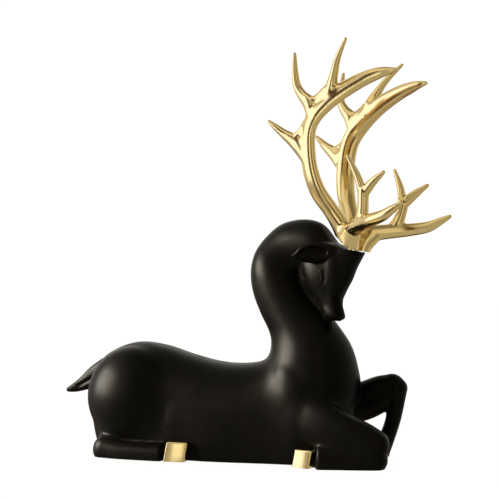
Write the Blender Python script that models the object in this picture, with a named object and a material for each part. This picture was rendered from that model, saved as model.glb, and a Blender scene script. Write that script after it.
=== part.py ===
"""Lying reindeer figurine: a cast resin deer with folded legs, and two antlers on pegs in its crown.

The deer looks along +X, its right side faces -Y, and it lies flat on Z = 0.
Its forms are lofts drawn in millimetres for a figure of DRAWN_HEIGHT, then fused, softened and
brought to FIGURE_HEIGHT. The pegs, their sockets and the gaps keep their own sizes at any height.
"""

import math

import bmesh
import bpy
import numpy as np
from mathutils import Matrix, Vector

MM = 0.001

# Height over the antler tips, and the height that the rows of the forms are drawn for
FIGURE_HEIGHT = 300.0
DRAWN_HEIGHT = 300.0
SCALE = FIGURE_HEIGHT / DRAWN_HEIGHT

# The head's pose: where it pivots on the neck, its turn to the right and its tilt
HEAD_PIVOT = (50.0, 0.0, 154.0)
HEAD_TURN = 19.0
HEAD_TILT = 5.4

# The neck turns with the head between two heights, and sooner in front than behind
NECK_TURN_START = 128.0
NECK_TURN_END = 168.0
NECK_TURN_LEAN = 0.6
NECK_TURN_FRONT = 20.0

# The flat seat on the crown: a point on it in the head's frame, its slope, and the outline of the
# nape behind it as distances forward of that point and above the seat
SEAT_POINT = (30.2, 0.0, -3.3)
SEAT_SLOPE = 8.0
NAPE_OUTLINE = ((-7.5, 0.0), (-17.0, 4.9), (-30.0, 18.0))

# How far the left haunch and the left hind leg lie behind the right ones
HAUNCH_STAGGER = 4.0
HIND_LEG_STAGGER = 18.0

# How much squarer than an ellipse the sections are, and how round the end of a leg is
TORSO_POWER = 2.3
HEAD_POWER = 2.4
FOREARM_POWER = 2.5
CANNON_POWER = 2.5
CANNON_END = 0.25

# The hooves: their one width, their heights, which differ from leg to leg, how round their edges are,
# and how far the tops of the folded legs' hooves lean to the deer's front
HOOF_WIDTH = 14.0
HOOF_HEIGHT = 14.2
FORE_HOOF_HEIGHT = 12.8
RAISED_HOOF_HEIGHT = 9.4
HOOF_ROUNDING = 1.5
HIND_HOOF_LEAN = 3.0
FORE_HOOF_LEAN = 2.8

# The hollow of an ear: how far its leaf is moved out, and its size beside the ear's
EAR_HOLLOW_SHIFT = 2.6
EAR_HOLLOW_SHARE = 0.86
EAR_RIM = 0.5

# How far the flat of the antler beam turns outwards, and each peg's distance from the middle
BEAM_TWIST = 20.0
PEG_OFFSET = 4.6

# An antler's underside: where its level part ends, and how steeply its heel rises behind that
ANTLER_HEEL = 5.0
HEEL_SLOPE = 27.5

# How far forward of the seat's point the pegs stand
PEG_FORWARD = 1.0

# Antler pegs in their sockets, in real millimetres
ANTLER_GAP = 0.6
PEG_RADIUS = 2.0
PEG_LENGTH = 6.0
PEG_ROOT = 6.0
PEG_CLEARANCE = 0.3
PEG_SIDES = 20

# Room for the blocks that cut the crown and the antlers, beyond anything they meet
CROWN_ROOM = 40.0

# Fineness of the lofts, of the skins and of the softening where forms meet
SIDES = 28
STEP = 3.0
CAP_ANGLES = (25, 48, 68, 84)
BODY_VOXEL = 2.2
LIMB_VOXEL = 1.6
DETAIL_VOXEL = 1.25
ANTLER_VOXEL = 0.9
BODY_BLEND = 5.0
LIMB_BLEND = 1.9
DETAIL_BLEND = 0.8
ANTLER_BLEND = 1.6
BODY_TRIANGLES = 5100
ANTLER_TRIANGLES = 1600

RIGHT = -1.0
LEFT = 1.0
HEAD_SIDES = {"right": RIGHT, "left": LEFT}


def normalised(vector):
    vector = np.asarray(vector, float)
    return vector / np.linalg.norm(vector)


def curve_through(rows):
    """Rows read from a Catmull-Rom curve through the given rows, about STEP apart."""
    rows = np.array(rows, float)
    padded = np.vstack([2 * rows[0] - rows[1], rows, 2 * rows[-1] - rows[-2]])
    samples = []
    for before, start, end, after in zip(padded, padded[1:], padded[2:], padded[3:]):
        count = max(2, math.ceil(np.linalg.norm((end - start)[:3]) / STEP))
        for t in np.arange(count) / count:
            samples.append(0.5 * (
                2 * start + (end - before) * t
                + (2 * before - 5 * start + 4 * end - after) * t ** 2
                + (3 * start - before - 3 * end + after) * t ** 3))
    samples.append(rows[-1])
    return np.array(samples)


def ring(centre, up, side, egg=0.0, power=2.0):
    """Points of a superellipse with half axes up and side; egg narrows its upper end."""
    angles = np.linspace(0, 2 * math.pi, SIDES, endpoint=False)
    cosine, sine = np.cos(angles), np.sin(angles)
    along = np.sign(cosine) * np.abs(cosine) ** (2 / power)
    across = np.sign(sine) * np.abs(sine) ** (2 / power) * (1 - egg * along)
    return np.asarray(centre) + np.outer(along, up) + np.outer(across, side)


def loft(rings):
    """A closed bmesh over the rings, with a fan over each end."""
    shape = bmesh.new()
    loops = [[shape.verts.new(point) for point in points] for points in rings]
    for low, high in zip(loops, loops[1:]):
        for i in range(SIDES):
            j = (i + 1) % SIDES
            shape.faces.new((low[i], low[j], high[j], high[i]))
    for loop, points in ((loops[0], rings[0]), (loops[-1], rings[-1])):
        centre = shape.verts.new(np.mean(points, axis=0))
        for i in range(SIDES):
            shape.faces.new((loop[i], loop[(i + 1) % SIDES], centre))
    bmesh.ops.recalc_face_normals(shape, faces=shape.faces)
    return shape


def cap(centre, up, side, outward, power):
    """Rings that close the end of a tube as a dome that reaches the length of outward."""
    rings = []
    for angle in np.radians(CAP_ANGLES):
        shrink = math.cos(angle)
        rings.append(ring(centre + outward * math.sin(angle), up * shrink, side * shrink, power=power))
    return rings


def tube(rows, hint=(0, 1, 0), power=2.0, ends=(1.0, 1.0)):
    """A loft along rows of x, y, z, half height and half width; ends says how round its ends are."""
    rows = curve_through(rows)
    tangents = np.gradient(rows[:, :3], axis=0)
    tangents /= np.linalg.norm(tangents, axis=1)[:, None]
    frames = []
    for row, tangent in zip(rows, tangents):
        side = normalised(np.asarray(hint, float) - np.dot(hint, tangent) * tangent)
        frames.append((row[:3], np.cross(tangent, side) * row[3], side * row[4]))
    rings = [ring(*frame, power=power) for frame in frames]
    start = cap(*frames[0], -tangents[0] * ends[0] * rows[0][4], power)
    finish = cap(*frames[-1], tangents[-1] * ends[1] * rows[-1][4], power)
    return loft(start[::-1] + rings + finish)


def profile(rows, power=2.0):
    """A loft in the plane Y = 0 over rows of two outline points x, z and x, z, half width and egg."""
    rings = []
    for x1, z1, x2, z2, width, egg in curve_through(rows):
        low = np.array((x1, 0, z1))
        high = np.array((x2, 0, z2))
        rings.append(ring((low + high) / 2, (high - low) / 2, (0, width, 0), egg, power))
    return loft(rings)


def ellipsoid(centre, half_axes, tilt):
    """An ellipsoid whose long axis is tilted nose down by so many degrees in the XZ plane."""
    shape = bmesh.new()
    bmesh.ops.create_uvsphere(shape, u_segments=SIDES, v_segments=SIDES // 2, radius=1.0)
    turned = Matrix.Rotation(math.radians(tilt), 4, "Y")
    return placed(shape, Matrix.Translation(centre) @ turned @ Matrix.Diagonal((*half_axes, 1.0)))


def prism(outline, half_width):
    """A block with the given outline in the XZ plane, as wide to both sides of Y = 0."""
    shape = bmesh.new()
    near = [shape.verts.new((x, -half_width, z)) for x, z in outline]
    far = [shape.verts.new((x, half_width, z)) for x, z in outline]
    shape.faces.new(near)
    shape.faces.new(far)
    for i in range(len(outline)):
        shape.faces.new((near[i - 1], near[i], far[i], far[i - 1]))
    bmesh.ops.recalc_face_normals(shape, faces=shape.faces)
    return shape


def box(low, high):
    shape = bmesh.new()
    bmesh.ops.create_cube(shape, size=1.0)
    low, high = Vector(low), Vector(high)
    return placed(shape, Matrix.Translation((low + high) / 2) @ Matrix.Diagonal((*(high - low), 1.0)))


def cylinder(radius, low, high, side):
    """An upright cylinder where the peg on one side stands."""
    shape = bmesh.new()
    bmesh.ops.create_cone(shape, cap_ends=True, segments=PEG_SIDES, radius1=radius,
                          radius2=radius, depth=high - low)
    place = (PEG_FORWARD * SCALE, side * PEG_OFFSET * SCALE, (low + high) / 2)
    return placed(shape, Matrix.Translation(place))


def placed(shape, matrix):
    bmesh.ops.transform(shape, matrix=matrix, verts=shape.verts)
    return shape


def head_matrix():
    """From the head's frame (forward, to the deer's left, up) to the figure's."""
    turn = Matrix.Rotation(math.radians(-HEAD_TURN), 4, "Z")
    tilt = Matrix.Rotation(math.radians(-HEAD_TILT), 4, "X")
    return Matrix.Translation(HEAD_PIVOT) @ turn @ tilt


def seat_matrix():
    """From the seat's frame, whose Z is its normal, to the head's frame."""
    return Matrix.Translation(SEAT_POINT) @ Matrix.Rotation(math.radians(SEAT_SLOPE), 4, "Y")


def to_real_size(matrix):
    """The frame with its origin where it lies in the figure of the real height."""
    return Matrix.Translation(matrix.to_translation() * SCALE) @ matrix.to_3x3().to_4x4()


def turned_neck(shape):
    """The neck's arch turned with the head, more and more towards its top."""
    pivot = Vector(HEAD_PIVOT)
    for vertex in shape.verts:
        height = vertex.co.z + NECK_TURN_LEAN * (vertex.co.x - NECK_TURN_FRONT)
        reach = (height - NECK_TURN_START) / (NECK_TURN_END - NECK_TURN_START)
        reach = min(1.0, max(0.0, reach))
        ease = reach * reach * (3 - 2 * reach)
        turn = Matrix.Rotation(math.radians(-HEAD_TURN * ease), 3, "Z")
        axis = Vector((pivot.x, pivot.y, vertex.co.z))
        vertex.co = axis + turn @ (vertex.co - axis)
    return shape


def torso():
    return profile([
        (-119, 12, -119, 62.6, 16, 0),
        (-112, -4, -112, 71.8, 26, 0),
        (-98, -16, -98, 79.2, 33, 0),
        (-84, -18, -84, 82, 36, 0),
        (-66, -20, -66, 79.8, 37.5, 0),
        (-46, -24, -46, 73.8, 38.5, 0),
        (-26, -26, -26, 69, 39.5, 0),
        (-8, -26, -8, 67.6, 39, 0),
        (10, -26, 10, 69.5, 37.5, 0),
        (28, -24, 28, 74, 37, 0),
        (46, -16, 46, 76, 39, 0),
        (62, -8, 62, 72, 34, 0),
        (72, 4, 72, 64, 23, 0),
        (77, 20, 77, 52, 10, 0),
    ], TORSO_POWER)


def neck():
    """From the chest up to the arch behind the crown and down to the brow."""
    return turned_neck(profile([
        (8, 22, 74, 24, 35.5, 0),
        (9, 50, 82, 50, 36, 0),
        (15, 72, 80, 68, 32, 0),
        (17.6, 82, 75.5, 82, 29, 0),
        (15.3, 92, 68.5, 93, 25.5, 0),
        (8.3, 106, 58.5, 106, 22.8, 0),
        (2.5, 122, 47, 118, 20.8, 0),
        (1.4, 138, 42, 130, 20, 0),
        (6.4, 155, 40, 136, 19.5, 0),
        (19.2, 169, 42, 138, 18.5, 0),
        (37, 173.6, 48, 137, 17, 0),
        (53, 171, 56, 136, 15, 0),
        (63.5, 160.5, 62, 138, 11.5, 0),
        (72, 152.5, 68, 140, 7.5, 0),
    ]))


def haunch(side, back):
    return ellipsoid((-85.6 - back, side * 15, 42.5), (35, 30, 37), tilt=4)


def shoulder(side):
    return ellipsoid((43, side * 17, 42), (24, 21, 37), tilt=-14)


def head():
    return placed(profile([
        (-10, 6, 36, -1.5, 10.5, 0.1),
        (-10.5, 0, 40, -4, 12, 0.12),
        (-10, -7, 38.6, -7, 13, 0.15),
        (-9, -15, 34.2, -15, 13.4, 0.2),
        (-6, -23, 30.8, -23.5, 12.8, 0.22),
        (-2, -30, 26.8, -31, 11.2, 0.22),
        (3, -36, 23.8, -37, 9.2, 0.15),
        (7, -42, 24, -43, 7.8, 0.05),
        (9.2, -47, 25.8, -48, 7.6, 0),
        (11, -50.5, 26, -51.3, 7.0, 0),
        (14, -53.5, 22.2, -54, 4.6, 0),
    ], HEAD_POWER), head_matrix())


def throat():
    """The mass between the jaw and the neck, narrower than both."""
    return placed(tube([
        (-4, 0, -14, 12, 11),
        (-3, 0, -28, 10, 9),
        (2, 0, -38, 7, 6.5),
        (7, 0, -46, 4.5, 4.5),
    ]), head_matrix())


def raised_foreleg():
    """The left foreleg: forearm out to a raised knee, cannon down to the ground."""
    forearm = tube([
        (50, 20, 34, 18, 15),
        (68, 22.5, 37.0, 15.2, 13),
        (82, 22.5, 40.4, 14.2, 11.8),
        (94, 22, 46.2, 13.0, 10.6),
        (102.8, 21.5, 50.2, 10.8, 9.4),
    ])
    cannon = tube([
        (104, 21.5, 49.6, 9.4, 8.8),
        (104.4, 21.2, 38, 6.4, 7),
        (102.4, 20.6, 26, 5.6, 6.4),
        (98, 20.2, 13, 5.8, 6.6),
        (93.8, 20, 3, 6.4, 6.8),
    ])
    return [forearm, cannon]


def folded_foreleg():
    """The right foreleg: forearm down to the knee on the ground, cannon folded back under it."""
    forearm = tube([
        (28, -14, 38, 22, 16),
        (44, -24, 34, 19, 13.5),
        (60, -30, 29.4, 16.6, 12.4),
        (75, -32, 23.7, 14.5, 11.8),
        (89, -32, 19, 13.2, 10.8),
        (98, -31.2, 14.6, 12.2, 10.4),
    ], power=FOREARM_POWER)
    cannon = tube([
        (98, -31.2, 6.6, 10.2, 9.6),
        (87, -33.8, 5.2, 10.2, 8.8),
        (73, -36.6, 5.0, 10.4, 8.6),
        (60.6, -38.6, 5.0, 11.0, 9.2),
    ], power=CANNON_POWER, ends=(1.0, CANNON_END))
    pastern = tube([(66, -38.2, 5.4, 5.4, 5.2), (54, -37.2, 5.4, 5.4, 5.2)])
    return [forearm, cannon, pastern]


def hind_leg(side, back):
    """Shank down to the hock at the back, and cannon forward along the ground."""
    shank = tube([
        (-76 - back, side * 22, 24, 14, 10),
        (-91 - back, side * 25, 15.4, 10, 8.4),
        (-101 - back, side * 30.4, 8.4, 7.8, 7.8),
    ])
    cannon = tube([
        (-100.8 - back, side * 33.5, 5.4, 9.4, 9),
        (-88 - back, side * 36, 3.2, 8.8, 8.2),
        (-72 - back, side * 37, 2.7, 8.8, 8),
        (-55.2 - back, side * 37.2, 2.6, 9.2, 8.2),
    ], power=CANNON_POWER, ends=(1.0, CANNON_END))
    pastern = tube([(-62 - back, side * 36.8, 5.4, 5.2, 5.2), (-48 - back, side * 36.8, 5.4, 5.2, 5.2)])
    return [shank, cannon, pastern]


def hoof(ankle, toe, top, lean):
    """A blunt block on the ground from inside the ankle to its toe, whose top leans towards the toe."""
    ankle, toe = Vector(ankle), Vector(toe)
    reach = (toe - ankle).length
    shape = box((0, -HOOF_WIDTH / 2, -top), (reach, HOOF_WIDTH / 2, top))
    for vertex in shape.verts:
        vertex.co.x += lean * vertex.co.z / top
    bmesh.ops.bevel(shape, geom=shape.edges, offset=HOOF_ROUNDING, segments=2, profile=0.5,
                    affect="EDGES", clamp_overlap=True)
    turn = Matrix.Rotation(math.atan2(toe.y - ankle.y, toe.x - ankle.x), 4, "Z")
    return placed(shape, Matrix.Translation((*ankle, 0)) @ turn)


def hooves():
    return {
        "fore_right": hoof((57.0, -39.2), (43.6, -34.5), FORE_HOOF_HEIGHT, -FORE_HOOF_LEAN),
        "fore_left": hoof((83, 19.6), (99.5, 20), RAISED_HOOF_HEIGHT, 0.0),
        "hind_right": hoof((-52.6, -38), (-36.6, -37.6), HOOF_HEIGHT, HIND_HOOF_LEAN),
        "hind_left": hoof((-52.6 - HIND_LEG_STAGGER, 38), (-36.6 - HIND_LEG_STAGGER, 37.6), HOOF_HEIGHT,
                          HIND_HOOF_LEAN),
    }


def tail():
    return tube([
        (-114, 3, 60, 9.3, 5.4),
        (-124, 3.4, 54.4, 8.2, 4),
        (-133, 3.2, 49, 5.8, 2.8),
        (-141, 3, 45.2, 3.8, 2),
        (-147, 3, 43.2, 2, 1.4),
    ])


def ear_rows(side):
    return np.array([
        (21.5, side * 8, -4.4, 4.4, 4.2),
        (15, side * 12, -5.2, 6.6, 5.2),
        (8.6, side * 16.4, -6.6, 7.3, 5.2),
        (2, side * 20.6, -8.0, 5.8, 4.0),
        (-3.2, side * 24.0, -9.2, 1.8, 1.6),
    ])


def ear(side):
    """A drooping leaf that faces forward and outward."""
    return placed(tube(ear_rows(side), (0.58, side * 0.8, 0)), head_matrix())


def ear_hollow(side):
    """The smaller leaf that hollows out the ear's face, from just behind its root."""
    rows = ear_rows(side)[1:]
    rows[:, :3] += np.array((0.58, side * 0.8, -0.25)) * EAR_HOLLOW_SHIFT
    rows[:, 3:] = rows[:, 3:] * EAR_HOLLOW_SHARE - EAR_RIM
    rows[0, 3:] *= 0.6
    return placed(tube(rows, (0.58, side * 0.8, 0)), head_matrix())


def antler_limbs():
    """Rows of forward, outward, up, half height and half width for each limb of one antler."""
    return {
        "beam": [
            (30.4, 6.8, -4, 8.8, 6.0), (29.4, 7.5, 5, 8.5, 5.9), (25, 9.5, 14, 7.1, 5.4),
            (19.2, 13.5, 24, 6.4, 4.8), (11.6, 20, 37, 6.9, 4.5), (7.1, 24.4, 52, 7.0, 4.3),
            (5.8, 27.2, 68, 6.9, 4.2), (7.2, 29, 80, 6.8, 4.2), (11.6, 29.8, 89.0, 7.1, 4.2),
            (19.6, 29, 97.4, 7.1, 4.2), (29.4, 27.6, 104.6, 6.7, 4.1), (39.6, 26.4, 110.2, 6.1, 4.0),
            (50, 25.4, 114.6, 5.2, 3.8), (59.8, 24.2, 117.4, 4.1, 3.2),
            (66.8, 23, 118.6, 2.6, 2.2), (71.2, 22.9, 119, 1.5, 1.4)],
        "back tine": [
            (6, 25.8, 57, 4.0, 3.6), (0, 27.4, 67, 5.6, 4.0), (-6.3, 28.2, 73, 4.9, 3.6),
            (-14, 29.3, 78.3, 3.4, 3.0), (-20, 31, 83, 2.4, 2.2), (-25, 32.4, 87, 1.4, 1.4)],
        "web over the back tine": [
            (-6, 28.6, 75, 2.6, 2.6), (0.5, 28.8, 78.5, 3.0, 2.8), (5.6, 29, 87, 2.6, 2.6)],
        "root": [
            (31.5, 7.2, -5, 7.6, 6.2), (34, 9.5, 2, 6.8, 6.4), (39, 14, 8.6, 5.6, 5.6)],
        "second tine": [
            (10, 29.5, 88, 4.6, 3.8), (6.2, 29.8, 98.8, 5.2, 3.8), (0.5, 30.2, 105.3, 3.9, 3.3),
            (-3.6, 30.8, 112, 3.2, 3.0), (-4.9, 32.3, 121.5, 2.6, 2.5), (-4.8, 34.2, 134.3, 1.4, 1.4)],
        "web between the upper tines": [
            (1.6, 30.2, 105, 2.6, 2.6), (11, 29.6, 100.6, 3.4, 3.0), (21, 29, 109, 2.6, 2.6)],
        "third tine": [
            (21, 28.4, 99, 5.0, 4.0), (23.6, 29, 108.6, 4.8, 3.8), (27.4, 31.8, 118, 3.3, 3.0),
            (32.3, 36, 127.7, 2.4, 2.4), (41.2, 41.4, 139, 1.3, 1.3)],
        "brow tine": [
            (29, 8.6, 8, 6.4, 5.6), (37, 13, 10, 5.9, 5.8), (46.4, 20.6, 12.2, 5.4, 5.4),
            (59, 29, 14.2, 4.7, 4.7), (72, 34, 16.8, 4.0, 3.8), (81, 36, 21.2, 2.8, 2.8),
            (87.4, 37, 24.4, 1.6, 1.6)],
        "brow stem": [
            (50, 23.5, 13, 6.0, 5.0), (52.8, 26.8, 23, 4.3, 3.9), (53.9, 29.4, 35, 4.4, 3.8)],
        "rear fork of the brow stem": [
            (53.6, 28.8, 32, 3.6, 3.3), (50, 31.3, 44.6, 2.8, 2.6), (43, 34, 58.6, 1.4, 1.4)],
        "front fork of the brow stem": [
            (53, 28.8, 31.5, 3.8, 3.3), (61.3, 31, 39.8, 3.3, 2.9), (70.8, 32.7, 46.6, 1.5, 1.5)],
    }


def antler_shapes(side):
    """The limbs of the antler on one side, in the head's frame."""
    twist = math.radians(BEAM_TWIST)
    hint = (-math.sin(twist), side * math.cos(twist), 0)
    mirror = np.array((1, side, 1, 1, 1))
    return [tube(np.array(rows) * mirror, hint) for rows in antler_limbs().values()]


def over_seat():
    """The room over the seat and over the nape that rises behind it, in the seat's frame."""
    top = [(NAPE_OUTLINE[-1][0], CROWN_ROOM), (CROWN_ROOM, CROWN_ROOM), (CROWN_ROOM, 0)]
    return prism([*NAPE_OUTLINE, *top], CROWN_ROOM)


def under_antler():
    """All that lies below an antler's level underside and its rising heel, in real millimetres."""
    room = CROWN_ROOM * SCALE
    heel = ANTLER_HEEL * SCALE
    rise = (heel + room) * math.tan(math.radians(HEEL_SLOPE))
    return prism([(-room, -room), (room, -room), (room, ANTLER_GAP), (heel, ANTLER_GAP),
                  (-room, ANTLER_GAP + rise)], room)


def joined(name, shapes):
    """One object of all the shapes, still as separate shells."""
    mesh = bpy.data.meshes.new(name)
    whole = bmesh.new()
    for shape in shapes:
        shape.to_mesh(mesh)
        shape.free()
        whole.from_mesh(mesh)
    whole.to_mesh(mesh)
    whole.free()
    result = bpy.data.objects.new(name, mesh)
    bpy.context.scene.collection.objects.link(result)
    return result


def added(item, shapes):
    """The shapes put into the object's mesh as further shells."""
    other = joined("added", shapes)
    whole = bmesh.new()
    whole.from_mesh(item.data)
    whole.from_mesh(other.data)
    whole.to_mesh(item.data)
    whole.free()
    bpy.data.objects.remove(other)


def applied(item):
    """The object's mesh as its modifiers make it, with the modifiers gone."""
    bpy.context.view_layer.update()
    graph = bpy.context.evaluated_depsgraph_get()
    mesh = bpy.data.meshes.new_from_object(item.evaluated_get(graph))
    item.modifiers.clear()
    item.data = mesh


def fused(item, voxel, blend):
    """The object's shells fused into one skin, with every meeting softened over the blend width."""
    remesh = item.modifiers.new("Fuse", "REMESH")
    remesh.mode = "VOXEL"
    remesh.voxel_size = voxel
    soften = item.modifiers.new("Soften", "SMOOTH")
    soften.factor = 0.5
    soften.iterations = max(1, round((blend / voxel) ** 2))
    applied(item)


def thinned(item, triangles):
    """The skin with about so many triangles, finest where it bends most."""
    triangulate = item.modifiers.new("Triangles", "TRIANGULATE")
    triangulate.quad_method = "SHORTEST_DIAGONAL"
    applied(item)
    thin = item.modifiers.new("Thin", "DECIMATE")
    thin.ratio = min(1.0, triangles / len(item.data.polygons))
    applied(item)


def combined(item, name, shape, operation):
    """The object cut by, or united with, a shape in the same frame."""
    other = joined(name, [shape])
    other.hide_render = True
    other.display_type = "WIRE"
    change = item.modifiers.new(name, "BOOLEAN")
    change.solver = "EXACT"
    change.operation = operation
    change.object = other
    applied(item)
    bpy.data.objects.remove(other)


def deer_skin():
    """The deer as one softened skin: trunk first, then head and legs, then tail and ears."""
    deer = joined("deer_body", [
        torso(), neck(), haunch(RIGHT, 0), haunch(LEFT, HAUNCH_STAGGER), shoulder(RIGHT), shoulder(LEFT)])
    fused(deer, BODY_VOXEL, BODY_BLEND)
    hind_legs = hind_leg(RIGHT, 0) + hind_leg(LEFT, HIND_LEG_STAGGER)
    added(deer, [head(), throat()] + raised_foreleg() + folded_foreleg() + hind_legs)
    fused(deer, LIMB_VOXEL, LIMB_BLEND)
    added(deer, [tail(), ear(RIGHT), ear(LEFT)])
    fused(deer, DETAIL_VOXEL, DETAIL_BLEND)
    thinned(deer, BODY_TRIANGLES)
    return deer


def deer_body():
    """The deer with hooves and hollow ears, cut flat below, with the seat and its two sockets."""
    deer = deer_skin()
    seat = head_matrix() @ seat_matrix()
    for name, shape in hooves().items():
        combined(deer, f"hoof_{name}", shape, "UNION")
    for name, side in HEAD_SIDES.items():
        combined(deer, f"ear_hollow_{name}", ear_hollow(side), "DIFFERENCE")
    below = box((-DRAWN_HEIGHT, -DRAWN_HEIGHT, -DRAWN_HEIGHT), (DRAWN_HEIGHT, DRAWN_HEIGHT, 0))
    combined(deer, "ground", below, "DIFFERENCE")
    combined(deer, "seat", placed(over_seat(), seat), "DIFFERENCE")
    deer.data.transform(Matrix.Scale(SCALE, 4))
    for name, side in HEAD_SIDES.items():
        socket = cylinder(PEG_RADIUS + PEG_CLEARANCE, -PEG_LENGTH - PEG_CLEARANCE, PEG_ROOT, side)
        combined(deer, f"socket_{name}", placed(socket, to_real_size(seat)), "DIFFERENCE")
    return deer


def antler(name, side):
    """An antler cut flat just above the seat, with its peg."""
    item = joined(name, antler_shapes(side))
    fused(item, ANTLER_VOXEL, ANTLER_BLEND)
    thinned(item, ANTLER_TRIANGLES)
    item.data.transform(Matrix.Scale(SCALE, 4))
    seat = to_real_size(seat_matrix())
    combined(item, "base_cut", placed(under_antler(), seat), "DIFFERENCE")
    combined(item, "peg", placed(cylinder(PEG_RADIUS, -PEG_LENGTH, PEG_ROOT, side), seat), "UNION")
    item.data.transform(to_real_size(head_matrix()))
    return item


def material(name, colour, roughness, metallic):
    made = bpy.data.materials.new(name)
    made.use_nodes = True
    made.diffuse_color = (*colour, 1.0)
    shader = made.node_tree.nodes["Principled BSDF"]
    shader.inputs["Base Color"].default_value = (*colour, 1.0)
    shader.inputs["Roughness"].default_value = roughness
    shader.inputs["Metallic"].default_value = metallic
    return made


def centred(items):
    """The figure in metres, with the middle of its plan at the origin."""
    points = np.array([vertex.co for item in items for vertex in item.data.vertices])
    middle = (points.min(axis=0) + points.max(axis=0)) / 2
    for item in items:
        item.data.transform(Matrix.Scale(MM, 4) @ Matrix.Translation((-middle[0], -middle[1], 0)))


def main():
    for item in list(bpy.data.objects):
        bpy.data.objects.remove(item)
    black = material("satin black resin", (0.012, 0.011, 0.010), 0.42, 0.0)
    gold = material("satin gold plating", (0.83, 0.62, 0.30), 0.25, 1.0)
    finishes = {deer_body(): black}
    for name, side in HEAD_SIDES.items():
        finishes[antler(f"antler_{name}", side)] = gold
    centred(finishes)
    for item, finish in finishes.items():
        item.data.shade_smooth()
        item.data.materials.clear()
        item.data.materials.append(finish)


main()
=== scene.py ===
"""Looks of the lying reindeer figurine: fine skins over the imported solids, finishes, studio and camera.

Forms are drawn in millimetres in the deer's own frame, as the solids are, then moved to the
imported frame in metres. The deer looks along +X, its right side faces -Y, and it lies on Z = 0.
"""

import math

import bmesh
import bpy
import numpy as np
from mathutils import Matrix, Vector


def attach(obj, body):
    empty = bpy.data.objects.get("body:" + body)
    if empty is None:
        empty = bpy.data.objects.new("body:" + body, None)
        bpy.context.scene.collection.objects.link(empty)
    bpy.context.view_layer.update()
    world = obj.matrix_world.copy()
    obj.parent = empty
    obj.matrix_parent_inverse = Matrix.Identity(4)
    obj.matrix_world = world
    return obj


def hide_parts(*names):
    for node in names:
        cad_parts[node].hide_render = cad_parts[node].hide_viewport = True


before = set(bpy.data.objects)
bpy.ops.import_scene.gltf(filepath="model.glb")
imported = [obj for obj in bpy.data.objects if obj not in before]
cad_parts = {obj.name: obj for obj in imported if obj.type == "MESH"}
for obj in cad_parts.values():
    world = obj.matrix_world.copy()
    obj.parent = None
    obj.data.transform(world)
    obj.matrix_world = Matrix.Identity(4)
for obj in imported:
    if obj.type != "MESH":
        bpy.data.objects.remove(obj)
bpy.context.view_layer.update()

MM = 0.001

# The middle of the drawn figure in plan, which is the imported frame's origin
DRAWN_MIDDLE = (-0.75, -7.5)
TO_FRAME = Matrix.Scale(MM, 4) @ Matrix.Translation((-DRAWN_MIDDLE[0], -DRAWN_MIDDLE[1], 0))

# The photograph's camera: level, looking at the drawn origin from the right front
PHOTO_PIXELS = 500
FOCAL_PIXELS = 1221
SENSOR_WIDTH = 36.0
VIEW_DISTANCE = 900.0
VIEW_HEIGHT = 151.0
VIEW_AZIMUTH = 16.0
CLIP_START = 0.01

# The head's pose: where it pivots on the neck, its turn to the right and its tilt
HEAD_PIVOT = (50.0, 0.0, 154.0)
HEAD_TURN = 19.0
HEAD_TILT = 5.4

# The neck turns with the head between two heights, and sooner in front than behind
NECK_TURN_START = 128.0
NECK_TURN_END = 168.0
NECK_TURN_LEAN = 0.6
NECK_TURN_FRONT = 20.0

# The flat seat of the antlers on the crown, and the outline of the nape behind it
SEAT_POINT = (30.2, 0.0, -3.3)
SEAT_SLOPE = 8.0
NAPE_OUTLINE = ((-7.5, 0.0), (-17.0, 4.9), (-30.0, 18.0))

# How far the left haunch and the left hind leg lie behind the right ones
HAUNCH_STAGGER = 4.0
HIND_LEG_STAGGER = 18.0

# How much squarer than an ellipse the sections are, and how round the end of a leg is
TORSO_POWER = 2.3
HEAD_POWER = 2.4
FOREARM_POWER = 2.5
CANNON_POWER = 2.5
CANNON_END = 0.25

# The hooves: their one width, their heights, how round their edges are, and how far the tops of the
# folded legs' hooves lean to the deer's front
HOOF_WIDTH = 14.0
HOOF_HEIGHT = 14.2
FORE_HOOF_HEIGHT = 12.8
RAISED_HOOF_HEIGHT = 9.4
HOOF_ROUNDING = 1.5
HOOF_EDGE_SEGMENTS = 5
HIND_HOOF_LEAN = 3.0
FORE_HOOF_LEAN = 2.8

# The ears: the way their faces look, forward and outward
EAR_FACE = (0.58, 0.8)

# The hollow of an ear: how far and how steeply its leaf is moved out, its size beside the ear's, and
# how much narrower it is at its root
EAR_HOLLOW_SHIFT = 2.6
EAR_HOLLOW_RISE = -0.25
EAR_HOLLOW_SHARE = 0.86
EAR_RIM = 0.5
EAR_HOLLOW_ROOT = 0.8

# The antlers: the turn of the beam's flat, and the underside with its gap over the seat and its heel
BEAM_TWIST = 20.0
ANTLER_GAP = 0.6
ANTLER_HEEL = 5.0
HEEL_SLOPE = 27.5

# The pegs in their sockets, and their place on the seat
PEG_FORWARD = 1.0
PEG_OFFSET = 4.6
PEG_RADIUS = 2.0
PEG_LENGTH = 6.0
PEG_ROOT = 6.0
PEG_CLEARANCE = 0.3
PEG_SIDES = 48

# Room for the blocks that cut the crown and the antlers, beyond anything they meet
CROWN_ROOM = 40.0

COARSE = 1.0
SIDES = 64
STEP = 1.5
CAP_ANGLES = (15, 30, 44, 57, 68, 78, 86)
TRUNK_VOXEL = 1.2 * COARSE
LIMB_VOXEL = 0.8 * COARSE
SKIN_VOXEL = 0.7 * COARSE
ANTLER_VOXEL = 0.45 * COARSE
SKIN_TRIANGLES = 170000

# The widths over which meeting forms are softened
BODY_BLEND = 5.0
LIMB_BLEND = 1.3
DETAIL_BLEND = 0.8
ANTLER_BLEND = 1.6

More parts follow.
